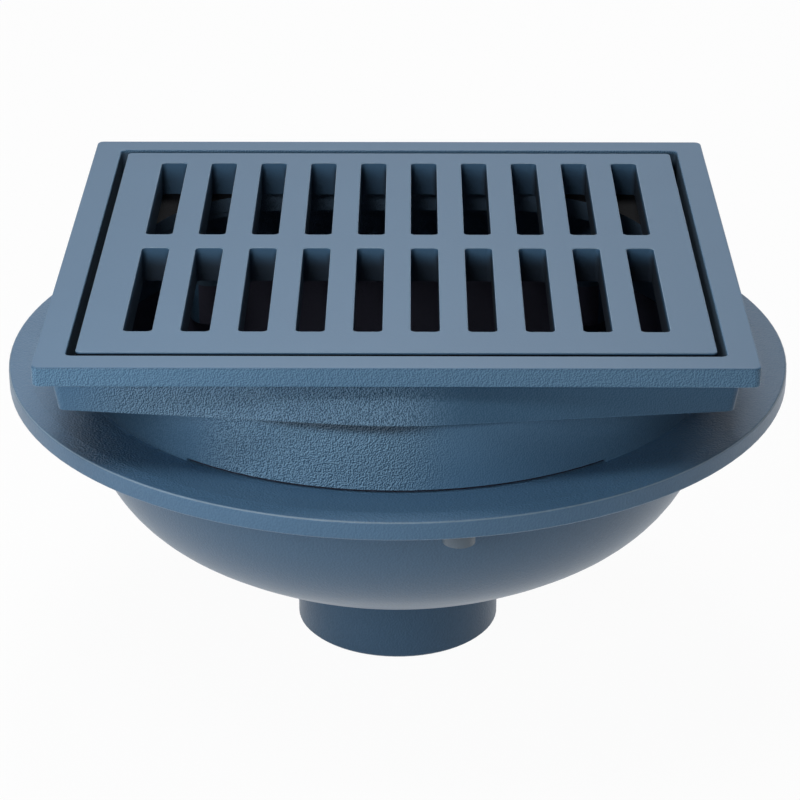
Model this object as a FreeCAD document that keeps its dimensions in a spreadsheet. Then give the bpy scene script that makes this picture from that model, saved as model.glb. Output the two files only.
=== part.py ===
import FreeCAD, Part
import math
import os
import Sketcher

# Area drain: cast-iron body with bowl and spigot outlet, clamping frame and loose slotted grate.
# All lengths in millimetres. Z points up, z = 0 is the outlet end, X runs along the frame.

SIZES = {
    # body
    "outlet_od": 111.3,
    "outlet_wall": 6.2,
    "outlet_drop": 32.9,
    "bowl_side": 14.0,
    "knuckle_radius": 74.2,
    "bowl_wall": 8.0,
    "bowl_step": 0.7,
    "flange_height": 151.6,
    "flange_thickness": 9.9,
    "flange_width": 39.0,
    "lip_width": 10.4,
    "dish_drop": 3.9,
    "seat_margin": 2.1,
    "boss_od": 16.0,
    "boss_height": 11.4,
    "boss_reach": 19.2,
    "boss_angle": 9.3,
    "boss_hole": 8.5,
    "boss_hole_depth": 16.5,
    "spigot_root_fillet": 4.0,
    "outlet_mouth_fillet": 10.0,
    "flange_root_fillet": 5.0,
    "flange_edge_fillet": 1.2,
    "spigot_edge_chamfer": 1.0,
    # frame
    "rim_width": 15.1,
    "rim_height": 10.2,
    "rim_corner": 3.6,
    "rim_edge_fillet": 0.9,
    "skirt_wall": 6.8,
    "skirt_height": 17.3,
    "skirt_draft": 2.5,
    "skirt_corner": 4.0,
    "front_bulge": 18.0,
    "side_bulge": 6.5,
    "collar_height": 36.0,
    "collar_draft": 2.7,
    "collar_wall": 8.0,
    "relief_gap": 1.5,
    "relief_angle": 38.0,
    "ledge_width": 18.7,
    "ledge_thickness": 10.9,
    "throat_corner": 83.0,
    "recess_corner": 3.1,
    # grate
    "grate_length": 313.0,
    "grate_width": 286.6,
    "grate_thickness": 19.0,
    "grate_corner": 2.6,
    "grate_gap": 4.35,
    "grate_set": 0.2,
    "slot_width": 14.45,
    "slot_length": 112.1,
    "slot_pitch": 28.54,
    "slot_corner": 2.7,
    "slot_edge_fillet": 0.7,
    "row_bar": 19.6,
    "row_shift": 4.55,
    # clamping bolts and their lugs
    "bolt_size": 10.0,
    "bolt_clearance": 0.6,
    "bolt_grip": 18.0,
    "bolt_head": 16.0,
    "bolt_head_height": 6.4,
    "lug_od": 26.0,
    "lug_inset": 10.0,
    "lug_height": 12.0,
    "lug_depth": 24.0,
}
SLOTS_PER_ROW = 10
BOLT_COUNT = 4
BOLT_ANGLE = 45.0
BOSS_COUNT = 3
RELIEF_COUNT = 2
FRONT_MIDDLE = 0.125  # half the middle part of the skirt's front edge, as a share of the collar radius
SIDE_MIDDLE = 0.05  # the same for the skirt's side edges
CLOSE = 0.01  # how near an edge has to lie to a place to be picked there

doc = FreeCAD.newDocument("area_drain")
sheet = doc.addObject("Spreadsheet::Sheet", "Sizes")
for row, (alias, value) in enumerate(SIZES.items(), start=1):
    sheet.set("A%d" % row, alias)
    sheet.set("B%d" % row, str(value))
    sheet.setAlias("B%d" % row, alias)
doc.recompute()


class Size:
    """A length as a number and as the expression that gives the same number from the sheet."""

    def __init__(self, value, text):
        self.value = value
        self.text = text

    def __add__(self, other):
        return Size(self.value + other.value, "(%s + %s)" % (self.text, other.text))

    def __sub__(self, other):
        return Size(self.value - other.value, "(%s - %s)" % (self.text, other.text))

    def __mul__(self, factor):
        return Size(self.value * factor, "(%s * %.6f)" % (self.text, factor))


def size(alias):
    """The size with this alias in the sheet."""
    return Size(SIZES[alias], "Sizes." + alias)


# Lengths that follow from the driving sizes, each worked out once.
outlet_r = size("outlet_od") * 0.5
bore_r = outlet_r - size("outlet_wall")
recess_x = size("grate_length") * 0.5 + size("grate_gap")
recess_y = size("grate_width") * 0.5 + size("grate_gap")
rim_x = recess_x + size("rim_width")
rim_y = recess_y + size("rim_width")
skirt_top_x = recess_x + size("skirt_wall")
skirt_top_y = recess_y + size("skirt_wall")
skirt_low_x = skirt_top_x - size("skirt_draft")
skirt_low_y = skirt_top_y - size("skirt_draft")
throat_x = recess_x - size("ledge_width")
throat_y = recess_y - size("ledge_width")
collar_r = skirt_low_y + size("front_bulge")
collar_bore_r = collar_r - size("collar_wall")
bowl_r = collar_r - size("bowl_step")
bowl_bore_r = bowl_r - size("bowl_wall")
flange_r = collar_r + size("flange_width")
seat_r = collar_r + size("seat_margin")
boss_r = collar_r + size("boss_reach")
lug_r = collar_bore_r - size("lug_inset")

z_lip = size("flange_height") + size("flange_thickness")
z_seat = z_lip - size("dish_drop")
z_skirt = z_seat + size("collar_height")
z_rim = z_skirt + size("skirt_height")
z_top = z_rim + size("rim_height")
z_grate = z_top - size("grate_set")
z_ledge = z_grate - size("grate_thickness")
z_web = z_ledge - size("ledge_thickness")


def new_body(label):
    """A body of the document; its label names the sub-part."""
    body = doc.addObject("PartDesign::Body", label)
    body.Label = label
    return body


def attach(made, body, role="XY_Plane", height=None):
    """Put an object on one of the body's origin planes, raised by a bound height."""
    plane = [f for f in body.Origin.OriginFeatures if f.Role == role][0]
    made.AttachmentSupport = [(plane, "")]
    made.MapMode = "FlatFace"
    if height is not None:
        made.AttachmentOffset = FreeCAD.Placement(FreeCAD.Vector(0, 0, height.value), FreeCAD.Rotation())
        made.setExpression("AttachmentOffset.Base.z", height.text)


def new_sketch(body, name, role="XY_Plane", height=None):
    """A sketch on one of the body's origin planes, raised by a bound height."""
    sketch = body.newObject("Sketcher::SketchObject", name)
    attach(sketch, body, role, height)
    return sketch


def bind(sketch, kind, *where):
    """Add a dimension: the last item of where is the size that drives it."""
    length = where[-1]
    index = sketch.addConstraint(Sketcher.Constraint(kind, *where[:-1], length.value))
    sketch.setExpression("Constraints[%d]" % index, length.text)


def join(sketch, kind, first, first_end, second, second_end):
    """Join two ends, either coincident or tangent."""
    sketch.addConstraint(Sketcher.Constraint(kind, first, first_end, second, second_end))


def line(sketch, a, b):
    """A line between two points of the sketch plane."""
    return sketch.addGeometry(Part.LineSegment(FreeCAD.Vector(*a, 0), FreeCAD.Vector(*b, 0)), False)


def arc(sketch, centre, radius, start, end):
    """An arc, turning anticlockwise from the start to the end angle in degrees."""
    circle = Part.Circle(FreeCAD.Vector(*centre, 0), FreeCAD.Vector(0, 0, 1), radius)
    return sketch.addGeometry(Part.ArcOfCircle(circle, math.radians(start), math.radians(end)), False)


def circle_at(sketch, radius, x=None, y=None):
    """A bound circle, at the sketch origin or at a bound offset in x and y."""
    centre = FreeCAD.Vector() if x is None else FreeCAD.Vector(x.value, y.value, 0)
    index = sketch.addGeometry(Part.Circle(centre, FreeCAD.Vector(0, 0, 1), radius.value), False)
    if x is None:
        join(sketch, "Coincident", index, 3, -1, 1)
    else:
        bind(sketch, "DistanceX", -1, 1, index, 3, x)
        bind(sketch, "DistanceY", -1, 1, index, 3, y)
    bind(sketch, "Radius", index, radius)


def rounded_rectangle(sketch, half_x, half_y, radius):
    """A bound rectangle with rounded corners, centred on the axis."""
    hx, hy, r = half_x.value, half_y.value, radius.value
    south = line(sketch, (-hx + r, -hy), (hx - r, -hy))
    east = line(sketch, (hx, -hy + r), (hx, hy - r))
    north = line(sketch, (hx - r, hy), (-hx + r, hy))
    west = line(sketch, (-hx, hy - r), (-hx, -hy + r))
    corners = [
        arc(sketch, (hx - r, -hy + r), r, 270, 360),
        arc(sketch, (hx - r, hy - r), r, 0, 90),
        arc(sketch, (-hx + r, hy - r), r, 90, 180),
        arc(sketch, (-hx + r, -hy + r), r, 180, 270),
    ]
    sides = [south, east, north, west]
    for index, corner in enumerate(corners):
        join(sketch, "Tangent", sides[index], 2, corner, 1)
        join(sketch, "Tangent", corner, 2, sides[(index + 1) % 4], 1)
    for side in (south, north):
        sketch.addConstraint(Sketcher.Constraint("Horizontal", side))
    for side in (east, west):
        sketch.addConstraint(Sketcher.Constraint("Vertical", side))
    for corner in corners[1:]:
        sketch.addConstraint(Sketcher.Constraint("Equal", corners[0], corner))
    bind(sketch, "Radius", corners[0], radius)
    bind(sketch, "DistanceX", -1, 1, east, 1, half_x)
    bind(sketch, "DistanceX", west, 1, -1, 1, half_x)
    bind(sketch, "DistanceY", south, 1, -1, 1, half_y)
    bind(sketch, "DistanceY", -1, 1, north, 1, half_y)


def fix(made, key, length):
    """Set a property of a feature, bound to a size."""
    setattr(made, key, length.value)
    made.setExpression(key, length.text)


def feature(body, kind, name, sketch, length, reverse=False):
    """A pad or pocket of a body, with its bound length."""
    made = body.newObject("PartDesign::" + kind, name)
    made.Profile = sketch
    sketch.Visibility = False
    fix(made, "Length", length)
    made.Reversed = reverse
    doc.recompute()
    return made


def pattern_about_z(body, name, originals, count):
    """Copies of features, spread evenly about the body's Z axis."""
    made = body.newObject("PartDesign::PolarPattern", name)
    axis = [f for f in body.Origin.OriginFeatures if f.Role == "Z_Axis"][0]
    made.Originals = originals
    made.Axis = (axis, [""])
    made.Angle = 360
    made.Occurrences = count
    body.Tip = made
    doc.recompute()
    return made


def edges_where(shape, test):
    """Names of the edges whose box passes the test."""
    return ["Edge%d" % (i + 1) for i, edge in enumerate(shape.Edges) if test(edge)]


def flat_at(edge, height):
    """True when the whole edge lies at this height."""
    box = edge.BoundBox
    return abs(box.ZMin - height) < CLOSE and abs(box.ZMax - height) < CLOSE


def on_circle(edge, radius, height):
    """True when the edge is an arc about the Z axis with this radius, at this height."""
    curve = edge.Curve
    if not isinstance(curve, Part.Circle) or not flat_at(edge, height):
        return False
    return abs(curve.Radius - radius) < CLOSE and math.hypot(curve.Center.x, curve.Center.y) < CLOSE


def dress(body, kind, name, base, edges, length):
    """A fillet or chamfer on edges of the last feature."""
    made = body.newObject("PartDesign::" + kind, name)
    made.Base = (base, edges)
    fix(made, "Radius" if kind == "Fillet" else "Size", length)
    body.Tip = made
    doc.recompute()
    return made


# Drain body: the section of flange, bowl and spigot is turned once about the axis.
body = new_body("drain_body")
section = new_sketch(body, "BodySection", "XZ_Plane")

# The crown is the arc that is tangent to the knuckle and would cross the axis at the outlet drop.
knuckle_r = size("knuckle_radius")
bowl_height = size("flange_height") - size("bowl_side") - size("outlet_drop")
crown_r = Size(
    (bowl_r.value ** 2 - 2 * bowl_r.value * knuckle_r.value + bowl_height.value ** 2)
    / (2 * (bowl_height.value - knuckle_r.value)),
    "((%s ^ 2 - 2 * %s * %s + %s ^ 2) / (2 * (%s - %s)))"
    % (bowl_r.text, bowl_r.text, knuckle_r.text, bowl_height.text, bowl_height.text, knuckle_r.text),
)
crown_z = size("outlet_drop") + crown_r
wall = size("bowl_wall")


def bowl_curve(outer_r, crown, knuckle):
    """Knuckle centre height and the angle where the knuckle meets the crown, for a start value."""
    reach = outer_r - knuckle
    rise = math.sqrt((crown - knuckle) ** 2 - reach ** 2)
    return crown_z.value - rise, math.degrees(math.atan2(rise, reach))


knuckle_z, turn = bowl_curve(bowl_r.value, crown_r.value, knuckle_r.value)
inner_knuckle_z, inner_turn = bowl_curve(bowl_bore_r.value, (crown_r - wall).value, (knuckle_r - wall).value)
outer_exit = math.degrees(math.acos(outlet_r.value / crown_r.value))
inner_exit = math.degrees(math.acos(bore_r.value / (crown_r - wall).value))
outer_exit_z = crown_z.value - crown_r.value * math.sin(math.radians(outer_exit))
inner_exit_z = crown_z.value - (crown_r - wall).value * math.sin(math.radians(inner_exit))

end_face = line(section, (bore_r.value, 0), (outlet_r.value, 0))
spigot = line(section, (outlet_r.value, 0), (outlet_r.value, outer_exit_z))
crown = arc(section, (0, crown_z.value), crown_r.value, -outer_exit, -turn)
knuckle = arc(section, (bowl_r.value - knuckle_r.value, knuckle_z), knuckle_r.value, -turn, 0)
side = line(section, (bowl_r.value, knuckle_z), (bowl_r.value, SIZES["flange_height"]))
under = line(section, (bowl_r.value, SIZES["flange_height"]), (flange_r.value, SIZES["flange_height"]))
edge = line(section, (flange_r.value, SIZES["flange_height"]), (flange_r.value, z_lip.value))
lip_in = flange_r.value - SIZES["lip_width"]
lip = line(section, (flange_r.value, z_lip.value), (lip_in, z_lip.value))
dish = line(section, (lip_in, z_lip.value), (seat_r.value, z_seat.value))
seat = line(section, (seat_r.value, z_seat.value), (bowl_bore_r.value, z_seat.value))
inside = line(section, (bowl_bore_r.value, z_seat.value), (bowl_bore_r.value, inner_knuckle_z))
inner_centre = bowl_bore_r.value - (knuckle_r - wall).value
inner_knuckle = arc(section, (inner_centre, inner_knuckle_z), (knuckle_r - wall).value, -inner_turn, 0)
inner_crown = arc(section, (0, crown_z.value), (crown_r - wall).value, -inner_exit, -inner_turn)
bore = line(section, (bore_r.value, inner_exit_z), (bore_r.value, 0))

join(section, "Coincident", end_face, 2, spigot, 1)
join(section, "Coincident", spigot, 2, crown, 1)
join(section, "Tangent", crown, 2, knuckle, 1)
join(section, "Tangent", knuckle, 2, side, 1)
join(section, "Coincident", side, 2, under, 1)
join(section, "Coincident", under, 2, edge, 1)
join(section, "Coincident", edge, 2, lip, 1)
join(section, "Coincident", lip, 2, dish, 1)
join(section, "Coincident", dish, 2, seat, 1)
join(section, "Coincident", seat, 2, inside, 1)
join(section, "Tangent", inside, 2, inner_knuckle, 2)
join(section, "Tangent", inner_knuckle, 1, inner_crown, 2)
join(section, "Coincident", inner_crown, 1, bore, 1)
join(section, "Coincident", bore, 2, end_face, 1)
for flat in (end_face, under, lip, seat):
    section.addConstraint(Sketcher.Constraint("Horizontal", flat))
for upright in (spigot, side, edge, inside, bore):
    section.addConstraint(Sketcher.Constraint("Vertical", upright))
section.addConstraint(Sketcher.Constraint("PointOnObject", end_face, 1, -1))
section.addConstraint(Sketcher.Constraint("PointOnObject", crown, 3, -2))
join(section, "Coincident", inner_crown, 3, crown, 3)
bind(section, "DistanceX", -1, 1, end_face, 1, bore_r)
bind(section, "DistanceX", -1, 1, end_face, 2, outlet_r)
bind(section, "DistanceY", -1, 1, crown, 3, crown_z)
bind(section, "Radius", crown, crown_r)
bind(section, "Radius", knuckle, knuckle_r)
bind(section, "Radius", inner_crown, crown_r - wall)
bind(section, "Radius", inner_knuckle, knuckle_r - wall)
bind(section, "DistanceX", -1, 1, side, 2, bowl_r)
bind(section, "DistanceY", -1, 1, side, 2, size("flange_height"))
bind(section, "DistanceX", -1, 1, under, 2, flange_r)
bind(section, "DistanceY", edge, 1, edge, 2, size("flange_thickness"))
bind(section, "DistanceX", lip, 2, lip, 1, size("lip_width"))
bind(section, "DistanceX", -1, 1, dish, 2, seat_r)
bind(section, "DistanceY", dish, 2, dish, 1, size("dish_drop"))
bind(section, "DistanceX", -1, 1, seat, 2, bowl_bore_r)

turned = body.newObject("PartDesign::Revolution", "BodyTurned")
turned.Profile = section
turned.ReferenceAxis = (section, ["V_Axis"])
turned.Angle = 360
section.Visibility = False
doc.recompute()

# Casting radii where the flange and the spigot grow out of the bowl, and on the open edges.
flange_root = edges_where(turned.Shape, lambda e: on_circle(e, bowl_r.value, SIZES["flange_height"]))
rooted = dress(body, "Fillet", "FlangeRoot", turned, flange_root, size("flange_root_fillet"))
spigot_root = edges_where(rooted.Shape, lambda e: on_circle(e, outlet_r.value, outer_exit_z))
necked = dress(body, "Fillet", "SpigotRoot", rooted, spigot_root, size("spigot_root_fillet"))
mouth = edges_where(necked.Shape, lambda e: on_circle(e, bore_r.value, inner_exit_z))
mouthed = dress(body, "Fillet", "OutletMouth", necked, mouth, size("outlet_mouth_fillet"))


def on_flange_edge(edge):
    """True for the flange's outer edge, at its underside and at its lip."""
    levels = (SIZES["flange_height"], z_lip.value)
    return any(on_circle(edge, flange_r.value, level) for level in levels)


rim_edges = edges_where(mouthed.Shape, on_flange_edge)
softened = dress(body, "Fillet", "FlangeEdges", mouthed, rim_edges, size("flange_edge_fillet"))
end_edges = edges_where(softened.Shape, lambda e: on_circle(e, outlet_r.value, 0))
dress(body, "Chamfer", "SpigotEdge", softened, end_edges, size("spigot_edge_chamfer"))

# Lugs inside the bowl take the clamping bolts; their tops are level with the seat.
diagonal_x = lug_r * math.cos(math.radians(BOLT_ANGLE))
diagonal_y = lug_r * math.sin(math.radians(BOLT_ANGLE))
lug_sketch = new_sketch(body, "BodyLug", height=z_seat)
circle_at(lug_sketch, size("lug_od") * 0.5, diagonal_x, diagonal_y)
lug = feature(body, "Pad", "BodyLugPad", lug_sketch, size("lug_depth"), reverse=True)
pattern_about_z(body, "BodyLugs", [lug], BOLT_COUNT)
hole_r = size("bolt_size") * 0.5 + size("bolt_clearance") * 0.5
bolt_depth = size("bolt_grip") + size("bolt_clearance") + size("bolt_clearance")
tap_sketch = new_sketch(body, "BodyTap", height=z_seat)
circle_at(tap_sketch, hole_r, diagonal_x, diagonal_y)
tap = feature(body, "Pocket", "BodyTapHole", tap_sketch, bolt_depth)
pattern_about_z(body, "BodyTaps", [tap], BOLT_COUNT)

# Bosses under the flange, drilled from below for an under-deck clamp.
boss_turn = math.radians(SIZES["boss_angle"])
boss_x = Size(boss_r.value * math.sin(boss_turn), "(%s * sin(Sizes.boss_angle))" % boss_r.text)
boss_y = Size(-boss_r.value * math.cos(boss_turn), "(-%s * cos(Sizes.boss_angle))" % boss_r.text)
boss_sketch = new_sketch(body, "Boss", height=size("flange_height"))
circle_at(boss_sketch, size("boss_od") * 0.5, boss_x, boss_y)
boss = feature(body, "Pad", "BossPad", boss_sketch, size("boss_height"), reverse=True)
pattern_about_z(body, "Bosses", [boss], BOSS_COUNT)
drill_sketch = new_sketch(body, "BossDrill", height=size("flange_height") - size("boss_height"))
circle_at(drill_sketch, size("boss_hole") * 0.5, boss_x, boss_y)
drill = feature(body, "Pocket", "BossHole", drill_sketch, size("boss_hole_depth"), reverse=True)
pattern_about_z(body, "BossHoles", [drill], BOSS_COUNT)

# Clamping frame: rim, skirt that runs from a rectangle to the round collar, and the collar itself.
frame = new_body("top_frame")
rim_sketch = new_sketch(frame, "Rim", height=z_rim)
rounded_rectangle(rim_sketch, rim_x, rim_y, size("rim_corner"))
feature(frame, "Pad", "RimPad", rim_sketch, size("rim_height"))


def skirt_top(sketch):
    """Rectangle with rounded corners, each side in three lines to pair with the sketch below."""
    hx, hy, r = skirt_top_x.value, skirt_top_y.value, SIZES["skirt_corner"]
    long_mid = collar_r * FRONT_MIDDLE
    short_mid = collar_r * SIDE_MIDDLE
    parts = []
    for sign in (1, -1):
        side_turn = 270 if sign > 0 else 90
        end_turn = 0 if sign > 0 else 180
        parts.append([
            line(sketch, (-sign * (hx - r), -sign * hy), (-sign * long_mid.value, -sign * hy)),
            line(sketch, (-sign * long_mid.value, -sign * hy), (sign * long_mid.value, -sign * hy)),
            line(sketch, (sign * long_mid.value, -sign * hy), (sign * (hx - r), -sign * hy)),
            arc(sketch, (sign * (hx - r), -sign * (hy - r)), r, side_turn, side_turn + 90),
        ])
        parts.append([
            line(sketch, (sign * hx, -sign * (hy - r)), (sign * hx, -sign * short_mid.value)),
            line(sketch, (sign * hx, -sign * short_mid.value), (sign * hx, sign * short_mid.value)),
            line(sketch, (sign * hx, sign * short_mid.value), (sign * hx, sign * (hy - r))),
            arc(sketch, (sign * (hx - r), sign * (hy - r)), r, end_turn, end_turn + 90),
        ])
    for index, (first, middle, last, corner) in enumerate(parts):
        following = parts[(index + 1) % 4][0]
        join(sketch, "Coincident", first, 2, middle, 1)
        join(sketch, "Coincident", middle, 2, last, 1)
        join(sketch, "Tangent", last, 2, corner, 1)
        join(sketch, "Tangent", corner, 2, following, 1)
        kind = "Horizontal" if index % 2 == 0 else "Vertical"
        for side_line in (first, middle, last):
            sketch.addConstraint(Sketcher.Constraint(kind, side_line))
    for other in parts[1:]:
        sketch.addConstraint(Sketcher.Constraint("Equal", parts[0][3], other[3]))
    bind(sketch, "Radius", parts[0][3], size("skirt_corner"))
    front, right, back, left = [part[1] for part in parts]
    bind(sketch, "DistanceY", front, 1, -1, 1, skirt_top_y)
    bind(sketch, "DistanceX", -1, 1, right, 1, skirt_top_x)
    bind(sketch, "DistanceY", -1, 1, back, 1, skirt_top_y)
    bind(sketch, "DistanceX", left, 1, -1, 1, skirt_top_x)
    bind(sketch, "DistanceX", front, 1, -1, 1, long_mid)
    bind(sketch, "DistanceX", -1, 1, front, 2, long_mid)
    bind(sketch, "DistanceY", right, 1, -1, 1, short_mid)
    bind(sketch, "DistanceY", -1, 1, right, 2, short_mid)
    bind(sketch, "DistanceX", -1, 1, back, 1, long_mid)
    bind(sketch, "DistanceX", back, 2, -1, 1, long_mid)
    bind(sketch, "DistanceY", -1, 1, left, 1, short_mid)
    bind(sketch, "DistanceY", left, 2, -1, 1, short_mid)


def skirt_foot(sketch):
    """Each side swells from the corners to an arc of the collar's radius, tangent all the way round."""
    r = SIZES["skirt_corner"]
    corner_x = skirt_low_x - size("skirt_corner")
    corner_y = skirt_low_y - size("skirt_corner")
    big = collar_r.value
    side_centre = skirt_low_x.value + SIZES["side_bulge"] - big
    cx, cy = corner_x.value, corner_y.value

    def lean(dx, dy):
        """Angle between the axis and the normal of the line tangent to the corner and to the big arc."""
        return math.degrees(math.atan2(dx, dy) - math.acos((big - r) / math.hypot(dx, dy)))

    front_lean = lean(cx, cy)
    side_lean = lean(cy, cx - side_centre)

    def at(centre, radius, angle):
        """The point of a circle at this angle."""
        turn_at = math.radians(angle)
        return centre[0] + radius * math.cos(turn_at), centre[1] + radius * math.sin(turn_at)

    middles = [(0.0, 0.0), (side_centre, 0.0), (0.0, 0.0), (-side_centre, 0.0)]
    corners = [(cx, -cy), (cx, cy), (-cx, cy), (-cx, -cy)]
    facing = [270.0, 360.0, 450.0, 540.0]
    leans = [front_lean, side_lean, front_lean, side_lean]
    parts = []
    for index in range(4):
        before = corners[index - 1]
        here = corners[index]
        normal_in = facing[index] - leans[index]
        normal_out = facing[index] + leans[index]
        next_in = facing[index] + 90.0 - leans[(index + 1) % 4]
        parts.append([
            line(sketch, at(before, r, normal_in), at(middles[index], big, normal_in)),
            arc(sketch, middles[index], big, normal_in, normal_out),
            line(sketch, at(middles[index], big, normal_out), at(here, r, normal_out)),
            arc(sketch, here, r, normal_out, next_in),
        ])
    for index, (first, middle, last, corner) in enumerate(parts):
        following = parts[(index + 1) % 4][0]
        join(sketch, "Tangent", first, 2, middle, 1)
        join(sketch, "Tangent", middle, 2, last, 1)
        join(sketch, "Tangent", last, 2, corner, 1)
        join(sketch, "Tangent", corner, 2, following, 1)
        bind(sketch, "Radius", corner, size("skirt_corner"))
        bind(sketch, "Radius", middle, collar_r)
    right_corner, back_corner, left_corner, front_corner = [part[3] for part in parts]
    bind(sketch, "DistanceX", -1, 1, right_corner, 3, corner_x)
    bind(sketch, "DistanceY", right_corner, 3, -1, 1, corner_y)
    bind(sketch, "DistanceX", -1, 1, back_corner, 3, corner_x)
    bind(sketch, "DistanceY", -1, 1, back_corner, 3, corner_y)
    bind(sketch, "DistanceX", left_corner, 3, -1, 1, corner_x)
    bind(sketch, "DistanceY", -1, 1, left_corner, 3, corner_y)
    bind(sketch, "DistanceX", front_corner, 3, -1, 1, corner_x)
    bind(sketch, "DistanceY", front_corner, 3, -1, 1, corner_y)
    join(sketch, "Coincident", parts[0][1], 3, -1, 1)
    join(sketch, "Coincident", parts[2][1], 3, -1, 1)
    side_reach = collar_r - size("skirt_corner") - size("side_bulge")
    sketch.addConstraint(Sketcher.Constraint("PointOnObject", parts[1][1], 3, -1))
    sketch.addConstraint(Sketcher.Constraint("PointOnObject", parts[3][1], 3, -1))
    bind(sketch, "DistanceX", parts[1][1], 3, right_corner, 3, side_reach)
    bind(sketch, "DistanceX", left_corner, 3, parts[3][1], 3, side_reach)


top_sketch = new_sketch(frame, "SkirtTop", height=z_rim)
skirt_top(top_sketch)
foot_sketch = new_sketch(frame, "SkirtFoot", height=z_skirt)
skirt_foot(foot_sketch)
doc.recompute()
skirt = frame.newObject("PartDesign::AdditiveLoft", "SkirtLoft")
skirt.Profile = top_sketch
skirt.Sections = [foot_sketch]
skirt.Ruled = True
for used in (top_sketch, foot_sketch):
    used.Visibility = False
doc.recompute()

# The collar narrows a little toward the skirt, so the skirt's foot stands proud of it all round.
collar = frame.newObject("PartDesign::AdditiveCone", "CollarCone")
attach(collar, frame, height=z_seat)
fix(collar, "Radius1", collar_r)
fix(collar, "Radius2", collar_r - size("collar_draft"))
fix(collar, "Height", size("collar_height"))
doc.recompute()

# Hollows: the grate's recess, the throat below its ledge, and the inside of the collar.
recess_sketch = new_sketch(frame, "Recess", height=z_ledge)
rounded_rectangle(recess_sketch, recess_x, recess_y, size("recess_corner"))
recess_depth = size("grate_set") + size("grate_thickness")
feature(frame, "Pocket", "RecessPocket", recess_sketch, recess_depth, reverse=True)
throat_sketch = new_sketch(frame, "Throat", height=z_web)
rounded_rectangle(throat_sketch, throat_x, throat_y, size("throat_corner"))
feature(frame, "Pocket", "ThroatPocket", throat_sketch, size("ledge_thickness"), reverse=True)
hollow_sketch = new_sketch(frame, "Hollow", height=z_seat)
circle_at(hollow_sketch, collar_bore_r)
feature(frame, "Pocket", "HollowPocket", hollow_sketch, z_web - z_seat, reverse=True)

# Lugs inside the collar for the clamping bolts.
frame_lug_sketch = new_sketch(frame, "FrameLug", height=z_seat)
circle_at(frame_lug_sketch, size("lug_od") * 0.5, diagonal_x, diagonal_y)
frame_lug = feature(frame, "Pad", "FrameLugPad", frame_lug_sketch, size("lug_height"))
pattern_about_z(frame, "FrameLugs", [frame_lug], BOLT_COUNT)
pass_sketch = new_sketch(frame, "FrameBoltHole", height=z_seat)
circle_at(pass_sketch, hole_r, diagonal_x, diagonal_y)
bolt_hole = feature(frame, "Pocket", "FrameBoltPocket", pass_sketch, size("lug_height"), reverse=True)
pattern_about_z(frame, "FrameBoltHoles", [bolt_hole], BOLT_COUNT)

# Seepage relief under the front and the back of the collar.
relief_sketch = new_sketch(frame, "Relief", height=z_seat)
wide = size("relief_angle").value
relief_out = collar_r + size("seat_margin")
relief_in = collar_bore_r - size("seat_margin")
far_arc = arc(relief_sketch, (0, 0), relief_out.value, 270 - wide, 270 + wide)
near_arc = arc(relief_sketch, (0, 0), relief_in.value, 270 - wide, 270 + wide)
ends = []
for turn_side in (-1, 1):
    along = math.radians(270 + turn_side * wide)
    spoke = (math.cos(along), math.sin(along))
    ends.append(line(
        relief_sketch,
        (relief_in.value * spoke[0], relief_in.value * spoke[1]),
        (relief_out.value * spoke[0], relief_out.value * spoke[1]),
    ))
for index, spoke_line in enumerate(ends):
    join(relief_sketch, "Coincident", near_arc, index + 1, spoke_line, 1)
    join(relief_sketch, "Coincident", far_arc, index + 1, spoke_line, 2)
    relief_sketch.addConstraint(Sketcher.Constraint("PointOnObject", -1, 1, spoke_line))
join(relief_sketch, "Coincident", far_arc, 3, -1, 1)
join(relief_sketch, "Coincident", near_arc, 3, -1, 1)
bind(relief_sketch, "Radius", far_arc, relief_out)
bind(relief_sketch, "Radius", near_arc, relief_in)
half_span = Size(
    relief_out.value * math.sin(math.radians(wide)),
    "(%s * sin(Sizes.relief_angle))" % relief_out.text,
)
bind(relief_sketch, "DistanceX", far_arc, 1, -1, 1, half_span)
bind(relief_sketch, "DistanceX", -1, 1, far_arc, 2, half_span)
relief = feature(frame, "Pocket", "ReliefPocket", relief_sketch, size("relief_gap"), reverse=True)
reliefs = pattern_about_z(frame, "Reliefs", [relief], RELIEF_COUNT)


def on_rim_outline(edge):
    """True when the edge reaches one of the four outer sides of the rim."""
    box = edge.BoundBox
    return max(box.XMax, -box.XMin) > rim_x.value - CLOSE or max(box.YMax, -box.YMin) > rim_y.value - CLOSE


frame_edges = edges_where(
    reliefs.Shape,
    lambda e: flat_at(e, z_top.value) or (flat_at(e, z_rim.value) and on_rim_outline(e)),
)
dress(frame, "Fillet", "RimEdges", reliefs, frame_edges, size("rim_edge_fillet"))

# Grate: a flat plate with two rows of rounded slots.
grate = new_body("grate")
plate_sketch = new_sketch(grate, "Plate", height=z_ledge)
rounded_rectangle(plate_sketch, size("grate_length") * 0.5, size("grate_width") * 0.5, size("grate_corner"))
feature(grate, "Pad", "PlatePad", plate_sketch, size("grate_thickness"))


def slot_row(name, centre_y):
    """One row of slots: a pocket at the first place, repeated along X."""
    sketch = new_sketch(grate, name + "Slot", height=z_ledge)
    first = size("slot_pitch") * (0.5 * (SLOTS_PER_ROW - 1))
    half_w = size("slot_width") * 0.5
    half_l = size("slot_length") * 0.5
    slot_outline(sketch, first, centre_y, half_w, half_l)
    pocket = feature(grate, "Pocket", name + "Pocket", sketch, size("grate_thickness"), reverse=True)
    row = grate.newObject("PartDesign::LinearPattern", name)
    axis = [f for f in grate.Origin.OriginFeatures if f.Role == "X_Axis"][0]
    row.Originals = [pocket]
    row.Direction = (axis, [""])
    length = size("slot_pitch") * (SLOTS_PER_ROW - 1)
    fix(row, "Length", length)
    row.Occurrences = SLOTS_PER_ROW
    grate.Tip = row
    doc.recompute()
    return row


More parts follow.
